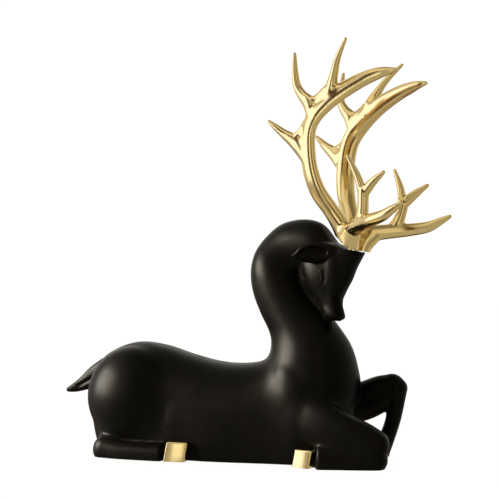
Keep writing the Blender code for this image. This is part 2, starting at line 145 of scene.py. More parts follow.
# The widths over which hollows between forms are filled out, and the places where the limbs' hollows
# are, each with its radius: the right shoulder and both hocks
TRUNK_FILL = 14.0
ANTLER_FILL = 7.0
LIMB_FILL = 10.0
FILLED_PLACES = (((46, -38, 34), 34), ((-98, -36, 20), 16), ((-116, 36, 20), 16))
FILL_STEPS = 10

# Edges that bend by more degrees than this stay crisp
BODY_SHARP_ANGLE = 42.0
GOLD_SHARP_ANGLE = 62.0

# The room round the figure: its colour, then patches painted over it in turn, each with its direction
# (degrees from -Y towards +X, and up), its half width and half height, its blur and its colour
ROOM_COLOUR = (0.50, 0.49, 0.46)
ROOM_PATCHES = (
    ((50, 10), (45, 40), 25, (0.52, 0.51, 0.45)),
    ((68, 8), (9, 30), 14, (0.33, 0.32, 0.27)),
    ((0, 90), (180, 14), 35, (0.22, 0.21, 0.17)),
    ((180, 2), (42, 20), 30, (0.62, 0.60, 0.56)),
    ((-125, 25), (20, 22), 28, (0.60, 0.59, 0.56)),
    ((-158, 12), (20, 16), 18, (1.15, 1.10, 1.00)),
    ((-160, -40), (32, 28), 16, (0.16, 0.09, 0.03)),
    ((-35, 2), (4.5, 32), 5, (0.05, 0.022, 0.002)),
    ((13, 25), (6, 30), 8, (0.14, 0.08, 0.02)),
    ((33, 12), (5, 26), 7, (0.85, 0.80, 0.68)),
)

# The soft lights on the black and on the gold, in metres round a point in the figure's middle: each has
# its name, azimuth, elevation, width and height, radiance and colour
LIGHT_TARGET = (0.0, 0.0, 0.13)
LIGHT_DISTANCE = 3.0
BLACK_LIGHT = ("key_on_black", -67, 18, (2.1, 1.8), 38.0, (1.0, 0.98, 0.94))
GOLD_LIGHTS = (
    ("key_on_gold", -69, 11, (2.4, 2.8), 1.75, (0.62, 0.66, 1.0)),
    ("rear_on_gold", -124, 12, (2.4, 2.6), 0.28, (0.8, 0.88, 1.0)),
    ("right_on_gold", 140, 8, (2.4, 2.4), 0.2, (1.0, 0.97, 0.9)),
    ("strip_on_gold", -15, 0, (0.6, 1.2), 1.0, (0.85, 0.92, 1.0)),
    ("top_on_gold", -48, 62, (2.8, 1.8), 0.55, (1.0, 0.96, 0.85)),
)
BOUNCE_LIGHT = ("bounce_on_gold", -110, -48, (4.0, 2.6), 0.26, (1.0, 0.7, 0.35))

# The floor and the backdrop, in metres, and how brightly they glow
FLOOR_RADIUS = 3.0
FLOOR_DROP = 0.0002
FLOOR_GLOW = 0.955
DOME_RADIUS = 3.2
DOME_GLOW = 1.05

# The part of a noise's range that most of it lies in, and where colours blend within it
NOISE_RANGE = (0.3, 0.7)
BLEND_RANGE = (0.35, 0.65)

# The groove between the right haunch and the belly
HAUNCH_GROOVE = ((-62.0, -36.0, 12.0), (-57.5, -37.0, 22.0), (-55.0, -37.5, 32.0), (-54.0, -37.0, 46.0))

# The groove along the tail, with its distance from the tail's middle
TAIL_GROOVE = ((-113, 3, 58, 5.2), (-124, 3.4, 54, 4), (-133, 3.2, 49, 2.8), (-141, 3, 45.2, 2))

# The half width and depth of each carved line; a negative depth raises a ridge
EYE_HOLLOW_CUT = (2.4, 0.5)
EYE_SLIT_CUT = (0.9, -0.25)
NOSTRIL_CUT = (3.0, 2.4)
MOUTH_CUT = (0.8, 0.5)
JAW_EDGE_CUT = (1.1, -1.4)
EAR_RIM_CUT = (1.4, -0.7)
FACE_RIDGE_CUT = (6.0, -0.8)
HAUNCH_CUT = (9.0, 0.9)
TAIL_CUT = (2.4, 1.1)

# The share of a carved line over which each of its ends fades out
CUT_FADE = 0.25

# How far to both sides of carved lines the mesh is made finer
FACE_REFINED = 3.2
LIDS_REFINED = 1.8
TAIL_REFINED = 3.0

RIGHT = -1.0
LEFT = 1.0
HEAD_SIDES = {"right": RIGHT, "left": LEFT}


def normalised(vector):
    """The vector brought to unit length."""
    vector = np.asarray(vector, float)
    return vector / np.linalg.norm(vector)


def curve_through(rows):
    """Rows read from a Catmull-Rom curve through the given rows, about STEP apart."""
    rows = np.array(rows, float)
    padded = np.vstack([2 * rows[0] - rows[1], rows, 2 * rows[-1] - rows[-2]])
    samples = []
    for before, start, end, after in zip(padded, padded[1:], padded[2:], padded[3:]):
        count = max(2, math.ceil(np.linalg.norm((end - start)[:3]) / STEP))
        for t in np.arange(count) / count:
            samples.append(0.5 * (
                2 * start + (end - before) * t
                + (2 * before - 5 * start + 4 * end - after) * t ** 2
                + (3 * start - before - 3 * end + after) * t ** 3))
    samples.append(rows[-1])
    return np.array(samples)


def ring(centre, up, side, egg=0.0, power=2.0):
    """Points of a superellipse with half axes up and side; egg narrows its upper end."""
    angles = np.linspace(0, 2 * math.pi, SIDES, endpoint=False)
    cosine, sine = np.cos(angles), np.sin(angles)
    along = np.sign(cosine) * np.abs(cosine) ** (2 / power)
    across = np.sign(sine) * np.abs(sine) ** (2 / power) * (1 - egg * along)
    return np.asarray(centre) + np.outer(along, up) + np.outer(across, side)


def loft(rings):
    """A closed bmesh over the rings, with a fan over each end."""
    shape = bmesh.new()
    loops = [[shape.verts.new(point) for point in points] for points in rings]
    for low, high in zip(loops, loops[1:]):
        for i in range(SIDES):
            j = (i + 1) % SIDES
            shape.faces.new((low[i], low[j], high[j], high[i]))
    for loop, points in ((loops[0], rings[0]), (loops[-1], rings[-1])):
        centre = shape.verts.new(np.mean(points, axis=0))
        for i in range(SIDES):
            shape.faces.new((loop[i], loop[(i + 1) % SIDES], centre))
    bmesh.ops.recalc_face_normals(shape, faces=shape.faces)
    return shape


def cap(centre, up, side, outward, power):
    """Rings that close the end of a tube as a dome that reaches the length of outward."""
    rings = []
    for angle in np.radians(CAP_ANGLES):
        shrink = math.cos(angle)
        rings.append(ring(centre + outward * math.sin(angle), up * shrink, side * shrink, power=power))
    return rings


def tube(rows, hint=(0, 1, 0), power=2.0, ends=(1.0, 1.0)):
    """A loft along rows of x, y, z, half height and half width; ends says how round its ends are."""
    rows = curve_through(rows)
    tangents = np.gradient(rows[:, :3], axis=0)
    tangents /= np.linalg.norm(tangents, axis=1)[:, None]
    frames = []
    for row, tangent in zip(rows, tangents):
        side = normalised(np.asarray(hint, float) - np.dot(hint, tangent) * tangent)
        frames.append((row[:3], np.cross(tangent, side) * row[3], side * row[4]))
    rings = [ring(*place, power=power) for place in frames]
    start = cap(*frames[0], -tangents[0] * ends[0] * rows[0][4], power)
    finish = cap(*frames[-1], tangents[-1] * ends[1] * rows[-1][4], power)
    return loft(start[::-1] + rings + finish)


def profile(rows, power=2.0):
    """A loft in the plane Y = 0 over rows of two outline points x, z and x, z, half width and egg."""
    rings = []
    for x1, z1, x2, z2, width, egg in curve_through(rows):
        low = np.array((x1, 0, z1))
        high = np.array((x2, 0, z2))
        rings.append(ring((low + high) / 2, (high - low) / 2, (0, width, 0), egg, power))
    return loft(rings)


def placed(shape, matrix):
    """The shape moved by the matrix."""
    bmesh.ops.transform(shape, matrix=matrix, verts=shape.verts)
    return shape


def ellipsoid(centre, half_axes, tilt):
    """An ellipsoid whose long axis is tilted nose down by so many degrees in the XZ plane."""
    shape = bmesh.new()
    bmesh.ops.create_uvsphere(shape, u_segments=SIDES, v_segments=SIDES // 2, radius=1.0)
    turned = Matrix.Rotation(math.radians(tilt), 4, "Y")
    return placed(shape, Matrix.Translation(centre) @ turned @ Matrix.Diagonal((*half_axes, 1.0)))


def prism(outline, half_width):
    """A block with the given outline in the XZ plane, as wide to both sides of Y = 0."""
    shape = bmesh.new()
    near = [shape.verts.new((x, -half_width, z)) for x, z in outline]
    far = [shape.verts.new((x, half_width, z)) for x, z in outline]
    shape.faces.new(near)
    shape.faces.new(far)
    for i in range(len(outline)):
        shape.faces.new((near[i - 1], near[i], far[i], far[i - 1]))
    bmesh.ops.recalc_face_normals(shape, faces=shape.faces)
    return shape


def box(low, high):
    """A block between two opposite corners."""
    shape = bmesh.new()
    bmesh.ops.create_cube(shape, size=1.0)
    low, high = Vector(low), Vector(high)
    return placed(shape, Matrix.Translation((low + high) / 2) @ Matrix.Diagonal((*(high - low), 1.0)))


def cylinder(radius, low, high, side):
    """An upright cylinder where the peg on one side stands."""
    shape = bmesh.new()
    bmesh.ops.create_cone(shape, cap_ends=True, segments=PEG_SIDES, radius1=radius,
                          radius2=radius, depth=high - low)
    return placed(shape, Matrix.Translation((PEG_FORWARD, side * PEG_OFFSET, (low + high) / 2)))


def head_matrix():
    """From the head's frame (forward, to the deer's left, up) to the figure's."""
    turn = Matrix.Rotation(math.radians(-HEAD_TURN), 4, "Z")
    tilt = Matrix.Rotation(math.radians(-HEAD_TILT), 4, "X")
    return Matrix.Translation(HEAD_PIVOT) @ turn @ tilt


def seat_matrix():
    """From the seat's frame, whose Z is its normal, to the head's frame."""
    return Matrix.Translation(SEAT_POINT) @ Matrix.Rotation(math.radians(SEAT_SLOPE), 4, "Y")


def turned_neck(shape):
    """The neck's arch turned with the head, more and more towards its top."""
    pivot = Vector(HEAD_PIVOT)
    for vertex in shape.verts:
        height = vertex.co.z + NECK_TURN_LEAN * (vertex.co.x - NECK_TURN_FRONT)
        reach = (height - NECK_TURN_START) / (NECK_TURN_END - NECK_TURN_START)
        reach = min(1.0, max(0.0, reach))
        ease = reach * reach * (3 - 2 * reach)
        turn = Matrix.Rotation(math.radians(-HEAD_TURN * ease), 3, "Z")
        axis = Vector((pivot.x, pivot.y, vertex.co.z))
        vertex.co = axis + turn @ (vertex.co - axis)
    return shape


def torso():
    """The trunk from the rump to the breast."""
    return profile([
        (-119, 12, -119, 62.6, 16, 0),
        (-112, -4, -112, 71.8, 26, 0),
        (-98, -16, -98, 79.2, 33, 0),
        (-84, -18, -84, 82, 36, 0),
        (-66, -20, -66, 79.8, 37.5, 0),
        (-46, -24, -46, 73.8, 38.5, 0),
        (-26, -26, -26, 69, 39.5, 0),
        (-8, -26, -8, 67.6, 39, 0),
        (10, -26, 10, 69.5, 37.5, 0),
        (28, -24, 28, 74, 37, 0),
        (46, -16, 46, 76, 39, 0),
        (62, -8, 62, 72, 34, 0),
        (72, 4, 72, 64, 23, 0),
        (77, 20, 77, 52, 10, 0),
    ], TORSO_POWER)


def neck():
    """From the chest up to the arch behind the crown and down to the brow."""
    return turned_neck(profile([
        (8, 22, 74, 24, 35.5, 0),
        (9, 50, 82, 50, 36, 0),
        (15, 72, 80, 68, 32, 0),
        (17.6, 82, 75.5, 82, 29, 0),
        (15.3, 92, 68.5, 93, 25.5, 0),
        (8.3, 106, 58.5, 106, 22.8, 0),
        (2.5, 122, 47, 118, 20.8, 0),
        (1.4, 138, 42, 130, 20, 0),
        (6.4, 155, 40, 136, 19.5, 0),
        (19.2, 169, 42, 138, 18.5, 0),
        (37, 173.6, 48, 137, 17, 0),
        (53, 171, 56, 136, 15, 0),
        (63.5, 160.5, 62, 138, 11.5, 0),
        (72, 152.5, 68, 140, 7.5, 0),
    ]))


def haunch(side, back):
    """The thigh on one side, moved back by so much."""
    return ellipsoid((-85.6 - back, side * 15, 42.5), (35, 30, 37), tilt=4)


def shoulder(side):
    """The mass over the foreleg on one side."""
    return ellipsoid((43, side * 17, 42), (24, 21, 37), tilt=-14)


def head():
    """The head from the crown down to the muzzle."""
    return placed(profile([
        (-10, 6, 36, -1.5, 10.5, 0.1),
        (-10.5, 0, 40, -4, 12, 0.12),
        (-10, -7, 38.6, -7, 13, 0.15),
        (-9, -15, 34.2, -15, 13.4, 0.2),
        (-6, -23, 30.8, -23.5, 12.8, 0.22),
        (-2, -30, 26.8, -31, 11.2, 0.22),
        (3, -36, 23.8, -37, 9.2, 0.15),
        (7, -42, 24, -43, 7.8, 0.05),
        (9.2, -47, 25.8, -48, 7.6, 0),
        (11, -50.5, 26, -51.3, 7.0, 0),
        (14, -53.5, 22.2, -54, 4.6, 0),
    ], HEAD_POWER), head_matrix())


def throat():
    """The mass between the jaw and the neck, narrower than both."""
    return placed(tube([
        (-4, 0, -14, 12, 11),
        (-3, 0, -28, 10, 9),
        (2, 0, -38, 7, 6.5),
        (7, 0, -46, 4.5, 4.5),
    ]), head_matrix())


def raised_foreleg():
    """The left foreleg: forearm out to a raised knee, cannon down to the ground."""
    forearm = tube([
        (50, 20, 34, 18, 15),
        (68, 22.5, 37.0, 15.2, 13),
        (82, 22.5, 40.4, 14.2, 11.8),
        (94, 22, 46.2, 13.0, 10.6),
        (102.8, 21.5, 50.2, 10.8, 9.4),
    ])
    cannon = tube([
        (104, 21.5, 49.6, 9.4, 8.8),
        (104.4, 21.2, 38, 6.4, 7),
        (102.4, 20.6, 26, 5.6, 6.4),
        (98, 20.2, 13, 5.8, 6.6),
        (93.8, 20, 3, 6.4, 6.8),
    ])
    return [forearm, cannon]


def folded_foreleg():
    """The right foreleg: forearm down to the knee on the ground, cannon folded back under it."""
    forearm = tube([
        (28, -14, 38, 22, 16),
        (44, -24, 34, 19, 13.5),
        (60, -30, 29.4, 16.6, 12.4),
        (75, -32, 23.7, 14.5, 11.8),
        (89, -32, 19, 13.2, 10.8),
        (98, -31.2, 14.6, 12.2, 10.4),
    ], power=FOREARM_POWER)
    cannon = tube([
        (98, -31.2, 6.6, 10.2, 9.6),
        (87, -33.8, 5.2, 10.2, 8.8),
        (73, -36.6, 5.0, 10.4, 8.6),
        (60.6, -38.6, 5.0, 11.0, 9.2),
    ], power=CANNON_POWER, ends=(1.0, CANNON_END))
    pastern = tube([(66, -38.2, 5.4, 5.4, 5.2), (54, -37.2, 5.4, 5.4, 5.2)])
    return [forearm, cannon, pastern]


def hind_leg(side, back):
    """Shank down to the hock at the back, and cannon forward along the ground."""
    shank = tube([
        (-76 - back, side * 22, 24, 14, 10),
        (-91 - back, side * 25, 15.4, 10, 8.4),
        (-101 - back, side * 30.4, 8.4, 7.8, 7.8),
    ])
    cannon = tube([
        (-100.8 - back, side * 33.5, 5.4, 9.4, 9),
        (-88 - back, side * 36, 3.2, 8.8, 8.2),
        (-72 - back, side * 37, 2.7, 8.8, 8),
        (-55.2 - back, side * 37.2, 2.6, 9.2, 8.2),
    ], power=CANNON_POWER, ends=(1.0, CANNON_END))
    pastern = tube([(-62 - back, side * 36.8, 5.4, 5.2, 5.2), (-48 - back, side * 36.8, 5.4, 5.2, 5.2)])
    return [shank, cannon, pastern]


def hoof(ankle, toe, top, lean):
    """A blunt block on the ground from inside the ankle to its toe, whose top leans towards the toe."""
    ankle, toe = Vector(ankle), Vector(toe)
    reach = (toe - ankle).length
    shape = box((0, -HOOF_WIDTH / 2, -top), (reach, HOOF_WIDTH / 2, top))
    for vertex in shape.verts:
        vertex.co.x += lean * vertex.co.z / top
    bmesh.ops.bevel(shape, geom=shape.edges, offset=HOOF_ROUNDING, segments=HOOF_EDGE_SEGMENTS,
                    profile=0.5, affect="EDGES", clamp_overlap=True)
    cut_at_ground(shape)
    turn = Matrix.Rotation(math.atan2(toe.y - ankle.y, toe.x - ankle.x), 4, "Z")
    return placed(shape, Matrix.Translation((*ankle, 0)) @ turn)


def hooves():
    """The four hooves by name; the left hind one lies as far back as its leg does."""
    return {
        "fore_right": hoof((57.0, -39.2), (43.6, -34.5), FORE_HOOF_HEIGHT, -FORE_HOOF_LEAN),
        "fore_left": hoof((83, 19.6), (99.5, 20), RAISED_HOOF_HEIGHT, 0.0),
        "hind_right": hoof((-52.6, -38), (-36.6, -37.6), HOOF_HEIGHT, HIND_HOOF_LEAN),
        "hind_left": hoof((-52.6 - HIND_LEG_STAGGER, 38), (-36.6 - HIND_LEG_STAGGER, 37.6), HOOF_HEIGHT,
                          HIND_HOOF_LEAN),
    }


def tail():
    """A short tail that hangs back from the rump to a point."""
    return tube([
        (-114, 3, 60, 9.3, 5.4),
        (-124, 3.4, 54.4, 8.2, 4),
        (-133, 3.2, 49, 5.8, 2.8),
        (-141, 3, 45.2, 3.8, 2),
        (-147, 3, 43.2, 2, 1.4),
    ])


def ear_rows(side):
    """Rows of an ear from its root to its tip, in the head's frame."""
    return np.array([
        (21.5, side * 8, -4.4, 4.4, 4.2),
        (15, side * 12, -5.2, 6.6, 5.2),
        (8.6, side * 16.4, -6.6, 7.3, 5.2),
        (2, side * 20.6, -8.0, 5.8, 4.0),
        (-3.2, side * 24.0, -9.2, 1.8, 1.6),
    ])


def ear_facing(side, rise=0.0):
    """The way that the face of an ear looks, in the head's frame."""
    forward, outward = EAR_FACE
    return np.array((forward, side * outward, rise))


def ear(side):
    """A drooping leaf that faces forward and outward."""
    return placed(tube(ear_rows(side), ear_facing(side)), head_matrix())


def ear_hollow(side):
    """The smaller leaf that hollows out the ear's face, from just behind its root."""
    rows = ear_rows(side)[1:]
    rows[:, :3] += ear_facing(side, EAR_HOLLOW_RISE) * EAR_HOLLOW_SHIFT
    rows[:, 3:] = rows[:, 3:] * EAR_HOLLOW_SHARE - EAR_RIM
    rows[0, 3:] *= EAR_HOLLOW_ROOT
    return placed(tube(rows, ear_facing(side)), head_matrix())


def antler_limbs():
    """Rows of forward, outward, up, half height and half width for each limb of one antler."""
    return {
        "beam": [
            (30.4, 6.8, -4, 8.8, 6.0), (29.4, 7.5, 5, 8.5, 5.9), (25, 9.5, 14, 7.1, 5.4),
            (19.2, 13.5, 24, 6.4, 4.8), (11.6, 20, 37, 6.9, 4.5), (7.1, 24.4, 52, 7.0, 4.3),
            (5.8, 27.2, 68, 6.9, 4.2), (7.2, 29, 80, 6.8, 4.2), (11.6, 29.8, 89.0, 7.1, 4.2),
            (19.6, 29, 97.4, 7.1, 4.2), (29.4, 27.6, 104.6, 6.7, 4.1), (39.6, 26.4, 110.2, 6.1, 4.0),
            (50, 25.4, 114.6, 5.2, 3.8), (59.8, 24.2, 117.4, 4.1, 3.2),
            (66.8, 23, 118.6, 2.6, 2.2), (71.2, 22.9, 119, 1.5, 1.4)],
        "back tine": [
            (6, 25.8, 57, 4.0, 3.6), (0, 27.4, 67, 5.6, 4.0), (-6.3, 28.2, 73, 4.9, 3.6),
            (-14, 29.3, 78.3, 3.4, 3.0), (-20, 31, 83, 2.4, 2.2), (-25, 32.4, 87, 1.4, 1.4)],
        "web over the back tine": [
            (-6, 28.6, 75, 2.6, 2.6), (0.5, 28.8, 78.5, 3.0, 2.8), (5.6, 29, 87, 2.6, 2.6)],
        "root": [
            (31.5, 7.2, -5, 7.6, 6.2), (34, 9.5, 2, 6.8, 6.4), (39, 14, 8.6, 5.6, 5.6)],
        "second tine": [
            (10, 29.5, 88, 4.6, 3.8), (6.2, 29.8, 98.8, 5.2, 3.8), (0.5, 30.2, 105.3, 3.9, 3.3),
            (-3.6, 30.8, 112, 3.2, 3.0), (-4.9, 32.3, 121.5, 2.6, 2.5), (-4.8, 34.2, 134.3, 1.4, 1.4)],
        "web between the upper tines": [
            (1.6, 30.2, 105, 2.6, 2.6), (11, 29.6, 100.6, 3.4, 3.0), (21, 29, 109, 2.6, 2.6)],
        "third tine": [
            (21, 28.4, 99, 5.0, 4.0), (23.6, 29, 108.6, 4.8, 3.8), (27.4, 31.8, 118, 3.3, 3.0),
            (32.3, 36, 127.7, 2.4, 2.4), (41.2, 41.4, 139, 1.3, 1.3)],
        "brow tine": [
            (29, 8.6, 8, 6.4, 5.6), (37, 13, 10, 5.9, 5.8), (46.4, 20.6, 12.2, 5.4, 5.4),
            (59, 29, 14.2, 4.7, 4.7), (72, 34, 16.8, 4.0, 3.8), (81, 36, 21.2, 2.8, 2.8),
            (87.4, 37, 24.4, 1.6, 1.6)],
        "brow stem": [
            (50, 23.5, 13, 6.0, 5.0), (52.8, 26.8, 23, 4.3, 3.9), (53.9, 29.4, 35, 4.4, 3.8)],
        "rear fork of the brow stem": [
            (53.6, 28.8, 32, 3.6, 3.3), (50, 31.3, 44.6, 2.8, 2.6), (43, 34, 58.6, 1.4, 1.4)],
        "front fork of the brow stem": [
            (53, 28.8, 31.5, 3.8, 3.3), (61.3, 31, 39.8, 3.3, 2.9), (70.8, 32.7, 46.6, 1.5, 1.5)],
    }


def antler_shapes(side):
    """The limbs of the antler on one side, in the head's frame."""
    twist = math.radians(BEAM_TWIST)
    hint = (-math.sin(twist), side * math.cos(twist), 0)
    mirror = np.array((1, side, 1, 1, 1))
    return [tube(np.array(rows) * mirror, hint) for rows in antler_limbs().values()]


def over_seat():
    """The room over the seat and over the nape that rises behind it, in the seat's frame."""
    top = [(NAPE_OUTLINE[-1][0], CROWN_ROOM), (CROWN_ROOM, CROWN_ROOM), (CROWN_ROOM, 0)]
    return prism([*NAPE_OUTLINE, *top], CROWN_ROOM)


def under_antler():
    """All that lies below an antler's level underside and its rising heel."""
    rise = (ANTLER_HEEL + CROWN_ROOM) * math.tan(math.radians(HEEL_SLOPE))
    return prism([(-CROWN_ROOM, -CROWN_ROOM), (CROWN_ROOM, -CROWN_ROOM), (CROWN_ROOM, ANTLER_GAP),
                  (ANTLER_HEEL, ANTLER_GAP), (-CROWN_ROOM, ANTLER_GAP + rise)], CROWN_ROOM)


def joined(name, shapes):
    """One object of all the shapes, still as separate shells."""
    mesh = bpy.data.meshes.new(name)
    whole = bmesh.new()
    for shape in shapes:
        shape.to_mesh(mesh)
        shape.free()
        whole.from_mesh(mesh)
    whole.to_mesh(mesh)
    whole.free()
    result = bpy.data.objects.new(name, mesh)
    bpy.context.scene.collection.objects.link(result)
    return result


def added(item, shapes):
    """The shapes put into the object's mesh as further shells."""
    other = joined("added", shapes)
    whole = bmesh.new()
    whole.from_mesh(item.data)
    whole.from_mesh(other.data)
    whole.to_mesh(item.data)
    whole.free()
    bpy.data.objects.remove(other)


def applied(item):
    """The object's mesh as its modifiers make it, with the modifiers gone."""
    bpy.context.view_layer.update()
    graph = bpy.context.evaluated_depsgraph_get()
    mesh = bpy.data.meshes.new_from_object(item.evaluated_get(graph))
    item.modifiers.clear()
    item.data = mesh


def fused(item, voxel, blend):
    """The object's shells fused into one skin, with every meeting softened over the blend width."""
    remesh = item.modifiers.new("Fuse", "REMESH")
    remesh.mode = "VOXEL"
    remesh.voxel_size = voxel
    soften = item.modifiers.new("Soften", "SMOOTH")
    soften.factor = 0.5
    soften.iterations = max(1, round((blend / voxel) ** 2))
    applied(item)


def filled(item, width, places=()):
    """The hollows where forms meet filled out over the width, all over or only round some places.

    A place is filled out in full to half its radius, and less and less from there to its edge.
    """
    mesh = item.data
    edges = np.empty(len(mesh.edges) * 2, np.int32)
    mesh.edges.foreach_get("vertices", edges)
    ends = edges.reshape(-1, 2)
    starts, others = np.concatenate([ends, ends[:, ::-1]]).T
    count = len(mesh.vertices)
    degree = np.bincount(starts, minlength=count)
    start = mesh_points(mesh)
    spacing = np.linalg.norm(start[ends[:, 1]] - start[ends[:, 0]], axis=1).mean()
    share = np.zeros(count) if places else np.ones(count)
    for centre, radius in places:
        away = np.linalg.norm(start - np.array(centre), axis=1)
        share = np.maximum(share, np.clip(2 - 2 * away / radius, 0, 1))
    for _ in range(round((width / spacing) ** 2 / FILL_STEPS)):
        points, normals = mesh_points(mesh), mesh_normals(mesh)
        for _ in range(FILL_STEPS):
            sums = [np.bincount(starts, points[others, axis], count) for axis in range(3)]
            middle = np.stack(sums, axis=1) / degree[:, None]
            rise = ((middle - points) * normals).sum(axis=1)
            points += normals * (0.5 * share * np.maximum(rise, 0))[:, None]
        mesh.vertices.foreach_set("co", points.astype(np.float32).ravel())
        mesh.update()


def thinned(item, triangles):
    """The skin with about so many triangles, finest where it bends most."""
    triangulate = item.modifiers.new("Triangles", "TRIANGULATE")
    triangulate.quad_method = "SHORTEST_DIAGONAL"
    applied(item)
    thin = item.modifiers.new("Thin", "DECIMATE")
    thin.ratio = min(1.0, triangles / len(item.data.polygons))
    applied(item)


def combined(item, name, shape, operation):
    """The object cut by, or united with, a shape in the same frame."""
    other = joined(name, [shape])
    change = item.modifiers.new(name, "BOOLEAN")
    change.solver = "MANIFOLD"
    change.operation = operation
    change.object = other
    applied(item)
    bpy.data.objects.remove(other)


def cut_at_ground(shape):
    """The bmesh cut off flat at Z = 0 and closed there."""
    everything = shape.verts[:] + shape.edges[:] + shape.faces[:]
    bmesh.ops.bisect_plane(shape, geom=everything, plane_co=(0, 0, 0), plane_no=(0, 0, -1),
                           clear_outer=True)
    bmesh.ops.holes_fill(shape, edges=[edge for edge in shape.edges if edge.is_boundary])


def grounded(item):
    """The object's skin cut off flat at Z = 0."""
    shape = bmesh.new()
    shape.from_mesh(item.data)
    cut_at_ground(shape)
    shape.to_mesh(item.data)
    shape.free()


def distance_to(points, line):
    """The distance of each point from a line through the given places, and how far along it lies."""
    nearest = np.full(len(points), np.inf)
    along = np.zeros(len(points))
    places = np.array(line, float)
    for index, (start, end) in enumerate(zip(places, places[1:])):
        reach = end - start
        share = np.clip((points - start) @ reach / (reach @ reach), 0, 1)
        away = np.linalg.norm(points - start - share[:, None] * reach, axis=1)
        closer = away < nearest
        nearest[closer] = away[closer]
        along[closer] = (index + share[closer]) / (len(places) - 1)
    return nearest, along


def mesh_points(mesh):
    """The places of the mesh's vertices as rows."""
    points = np.empty(len(mesh.vertices) * 3, np.float32)
    mesh.vertices.foreach_get("co", points)
    return points.reshape(-1, 3).astype(float)


def mesh_normals(mesh):
    """The normals at the mesh's vertices as rows."""
    normals = np.empty(len(mesh.vertices) * 3, np.float32)
    mesh.vertex_normals.foreach_get("vector", normals)
    return normals.reshape(-1, 3).astype(float)


def refined(item, lines, radius):
    """The mesh with its edges halved near the lines, so that fine carving has points to move."""
    points = mesh_points(item.data)
    near = np.zeros(len(points), bool)
    for line in lines:
        near |= distance_to(points, line)[0] < radius
    shape = bmesh.new()
    shape.from_mesh(item.data)
    shape.verts.ensure_lookup_table()
    edges = [edge for edge in shape.edges if near[edge.verts[0].index] and near[edge.verts[1].index]]
    bmesh.ops.subdivide_edges(shape, edges=edges, cuts=1, use_grid_fill=True)
    bmesh.ops.triangulate(shape, faces=[face for face in shape.faces if len(face.verts) > 4])
    shape.to_mesh(item.data)
    shape.free()


def carved(item, line, half_width, depth):
    """A rounded groove along a line, fading out at both its ends; a negative depth raises a ridge."""
    points = mesh_points(item.data)
    away, along = distance_to(points, line)
    fade = np.clip(np.minimum(along, 1 - along) / CUT_FADE, 0, 1)
    fade = fade * fade * (3 - 2 * fade)
    shape = np.clip(1 - (away / half_width) ** 2, 0, 1) ** 2
    points -= mesh_normals(item.data) * (depth * shape * fade)[:, None]
    item.data.vertices.foreach_set("co", points.astype(np.float32).ravel())
    item.data.update()


def on_head(places):
    """Places in the head's frame brought to the figure's."""
    return [tuple(head_matrix() @ Vector(place)) for place in places]


def eye_slit(side):
    """The line of the closed lids."""
    return on_head([
        (11.6, side * 13.2, -18.6), (13.4, side * 12.9, -20.6), (14.0, side * 12.6, -23.0),
        (13.6, side * 12.3, -25.6), (12.0, side * 12.2, -27.6)])


def eye_hollow(side):
    """The shallow hollow just in front of the closed lids."""
    return on_head([
        (13.4, side * 12.8, -18.2), (15.0, side * 12.4, -20.6), (15.6, side * 12.1, -23.2),
        (15.2, side * 11.9, -26.0), (13.6, side * 11.9, -28.2)])


def nostril_groove(side):
    """The groove from the middle of the muzzle down to the nostril."""
    return on_head([
        (20.6, side * 7.2, -34.0), (22.2, side * 5.6, -38.5), (23.4, side * 4.7, -43.5),
        (24.2, side * 4.2, -48.0), (23.6, side * 3.8, -51.6)])


def ear_rim(side):
    """The upper edge of the ear, round its hollow."""
    return on_head([
        (16.4, side * 14.0, 1.0), (10.0, side * 18.4, 0.4), (3.2, side * 22.2, -2.6),
        (-3.0, side * 24.6, -8.0)])


def jaw_edge(side):
    """The rim of the jaw from the cheek to the chin."""
    return on_head([
        (-5.0, side * 10.4, -22.5), (-3.3, side * 9.4, -26.3), (1.5, side * 7.7, -34.0),
        (6.4, side * 5.9, -41.0), (10.5, side * 5.3, -48.7), (12.5, side * 5.0, -51.5)])


def face_ridge(side):
    """The soft edge between the side of the face and its front."""
    return on_head([
        (19.0, side * 13.0, 0.0), (20.5, side * 12.1, -12.0), (21.0, side * 10.4, -25.3),
        (20.6, side * 7.2, -37.2), (21.5, side * 5.5, -44.0)])


def mouth(side):
    """The line of the mouth from the middle of the lips to its corner."""
    return on_head([(23.5, side * 2.0, -52.8), (18.5, side * 5.6, -51.2), (13.0, side * 7.0, -48.6)])


def deer_skin():
    """The deer as one softened skin: trunk first, then head and legs, then tail and ears."""
    deer = joined("deer", [
        torso(), neck(), haunch(RIGHT, 0), haunch(LEFT, HAUNCH_STAGGER), shoulder(RIGHT), shoulder(LEFT)])
    fused(deer, TRUNK_VOXEL, BODY_BLEND)
    filled(deer, TRUNK_FILL)
    hind_legs = hind_leg(RIGHT, 0) + hind_leg(LEFT, HIND_LEG_STAGGER)
    added(deer, [head(), throat()] + raised_foreleg() + folded_foreleg() + hind_legs)
    fused(deer, LIMB_VOXEL, LIMB_BLEND)
    filled(deer, LIMB_FILL, FILLED_PLACES)
    added(deer, [tail(), ear(RIGHT), ear(LEFT)])
    fused(deer, SKIN_VOXEL, DETAIL_BLEND)
    return deer


def carve_face(deer, side):
    """The fine lines of one side of the face and of its ear."""
    lines = [eye_slit(side), nostril_groove(side), mouth(side), jaw_edge(side), ear_rim(side)]
    refined(deer, lines, FACE_REFINED)
    refined(deer, [eye_slit(side), mouth(side)], LIDS_REFINED)
    carved(deer, eye_hollow(side), *EYE_HOLLOW_CUT)
    carved(deer, eye_slit(side), *EYE_SLIT_CUT)
    carved(deer, nostril_groove(side), *NOSTRIL_CUT)
    carved(deer, mouth(side), *MOUTH_CUT)
    carved(deer, jaw_edge(side), *JAW_EDGE_CUT)
    carved(deer, ear_rim(side), *EAR_RIM_CUT)
    carved(deer, face_ridge(side), *FACE_RIDGE_CUT)


